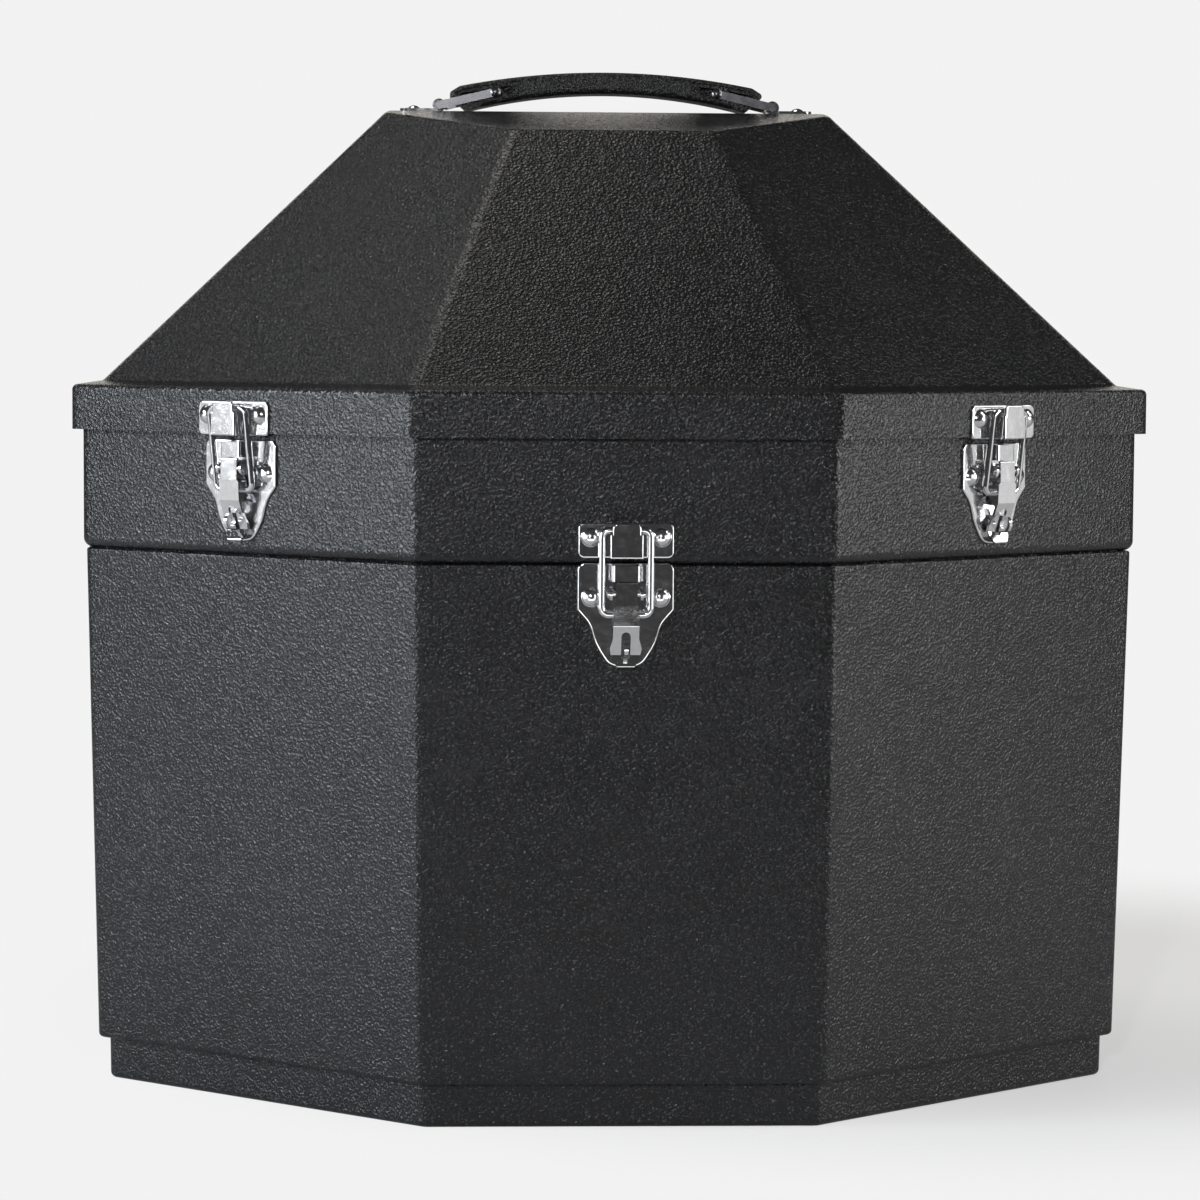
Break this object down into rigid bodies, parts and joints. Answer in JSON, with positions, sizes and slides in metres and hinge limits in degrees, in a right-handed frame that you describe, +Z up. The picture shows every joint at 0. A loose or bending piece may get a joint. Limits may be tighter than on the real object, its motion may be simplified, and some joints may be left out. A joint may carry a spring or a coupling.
{
  "type": "octagonal carrying case",
  "caption": "Octagonal two-storey plastic footlocker: deep box, hinged hat tray and truncated-pyramid lid, with draw latches, back hinges and a low strap handle.",
  "frame": {"origin": "centre of the resting face", "axes": "+Z up, front facet with the centre latch facing -Y, hinges at +Y, handle and roof ridge along X"},
  "size_m": [0.467, 0.427, 0.4438],
  "materials": {
    "shell_plastic": "black ABS sheet with a haircell grain",
    "grip_plastic": "black, finely grained",
    "latch_nickel": "bright plated",
    "wire_nickel": "bright plated",
    "rivet_nickel": "bright plated",
    "hinge_nickel": "bright plated",
    "bracket_nickel": "bright plated",
    "link_steel": "dark",
    "washer_steel": "plain"
  },
  "bodies": {
    "lower_box": {"lower_box_shell": "shell_plastic", "lower_box_rivets": "rivet_nickel", "lower_box_washers": "washer_steel", "center_latch_shield": "latch_nickel", "center_latch_padlock_eye": "latch_nickel", "center_latch_pivot_pin": "rivet_nickel", "left_tray_hinge_lower_box_leaf": "hinge_nickel", "left_tray_hinge_pin": "rivet_nickel", "right_tray_hinge_lower_box_leaf": "hinge_nickel", "right_tray_hinge_pin": "rivet_nickel"},
    "tray": {"tray_shell": "shell_plastic", "tray_rivets": "rivet_nickel", "tray_washers": "washer_steel", "center_latch_catch": "latch_nickel", "left_latch_shield": "latch_nickel", "left_latch_padlock_eye": "latch_nickel", "left_latch_pivot_pin": "rivet_nickel", "right_latch_shield": "latch_nickel", "right_latch_padlock_eye": "latch_nickel", "right_latch_pivot_pin": "rivet_nickel", "left_tray_hinge_tray_leaf": "hinge_nickel", "left_lid_hinge_tray_leaf": "hinge_nickel", "left_lid_hinge_pin": "rivet_nickel", "right_tray_hinge_tray_leaf": "hinge_nickel", "right_lid_hinge_tray_leaf": "hinge_nickel", "right_lid_hinge_pin": "rivet_nickel"},
    "lid": {"lid_shell": "shell_plastic", "lid_rivets": "rivet_nickel", "lid_washers": "washer_steel", "left_latch_catch": "latch_nickel", "left_lid_hinge_lid_leaf": "hinge_nickel", "right_latch_catch": "latch_nickel", "right_lid_hinge_lid_leaf": "hinge_nickel", "handle_left_bracket": "bracket_nickel", "handle_right_bracket": "bracket_nickel"},
    "handle": {"handle_grip": "grip_plastic"},
    "handle_left_link": {"handle_left_link": "link_steel", "handle_left_front_pin": "link_steel", "handle_left_back_pin": "link_steel"},
    "handle_right_link": {"handle_right_link": "link_steel", "handle_right_front_pin": "link_steel", "handle_right_back_pin": "link_steel"},
    "center_lever": {"center_latch_lever": "latch_nickel"},
    "center_bail": {"center_latch_bail": "wire_nickel"},
    "left_lever": {"left_latch_lever": "latch_nickel"},
    "left_bail": {"left_latch_bail": "wire_nickel"},
    "right_lever": {"right_latch_lever": "latch_nickel"},
    "right_bail": {"right_latch_bail": "wire_nickel"}
  },
  "joints": [
    {"name": "tray_hinge", "type": "hinge", "parent": "lower_box", "child": "tray", "pos_m": [0, 0.2069, 0.2328], "axis": [-1, 0, 0], "range_deg": [0, 95]},
    {"name": "lid_hinge", "type": "hinge", "parent": "tray", "child": "lid", "pos_m": [0, 0.2116, 0.2837], "axis": [-1, 0, 0], "range_deg": [0, 95]},
    {"name": "handle_lift", "type": "slide", "parent": "lid", "child": "handle", "axis": [0, 0, 1], "range_m": [0, 0.0083]},
    {"name": "handle_left_swing", "type": "hinge", "parent": "lid", "child": "handle_left_link", "pos_m": [-0.0753, 0, 0.42855], "axis": [0, -1, 0], "range_deg": [0, 18.8]},
    {"name": "handle_right_swing", "type": "hinge", "parent": "lid", "child": "handle_right_link", "pos_m": [0.0753, 0, 0.42855], "axis": [0, 1, 0], "range_deg": [0, 18.8]},
    {"name": "center_lever_pivot", "type": "hinge", "parent": "lower_box", "child": "center_lever", "pos_m": [0, -0.20847, 0.22147], "axis": [-1, 0, 0], "range_deg": [0, 90]},
    {"name": "center_bail_pivot", "type": "hinge", "parent": "center_lever", "child": "center_bail", "pos_m": [0, -0.20678, 0.21281], "axis": [-1, 0, 0], "range_deg": [-70.5, 0]},
    {"name": "left_lever_pivot", "type": "hinge", "parent": "tray", "child": "left_lever", "pos_m": [-0.16167, -0.14907, 0.26939], "axis": [-0.7713, 0.6364, 0], "range_deg": [0, 90]},
    {"name": "left_bail_pivot", "type": "hinge", "parent": "left_lever", "child": "left_bail", "pos_m": [-0.16071, -0.1479, 0.26069], "axis": [-0.7713, 0.6364, 0], "range_deg": [-70.5, 0]},
    {"name": "right_lever_pivot", "type": "hinge", "parent": "tray", "child": "right_lever", "pos_m": [0.16167, -0.14907, 0.26939], "axis": [-0.7713, -0.6364, 0], "range_deg": [0, 90]},
    {"name": "right_bail_pivot", "type": "hinge", "parent": "right_lever", "child": "right_bail", "pos_m": [0.16071, -0.1479, 0.26069], "axis": [-0.7713, -0.6364, 0], "range_deg": [-70.5, 0]}
  ],
  "couplings": [
    {"joint": "handle_left_swing", "follows": "handle_lift", "rad_per_m": 39.3},
    {"joint": "handle_right_swing", "follows": "handle_lift", "rad_per_m": 39.3},
    {"joint": "center_bail_pivot", "follows": "center_lever_pivot", "ratio": -0.78},
    {"joint": "left_bail_pivot", "follows": "left_lever_pivot", "ratio": -0.78},
    {"joint": "right_bail_pivot", "follows": "right_lever_pivot", "ratio": -0.78}
  ]
}
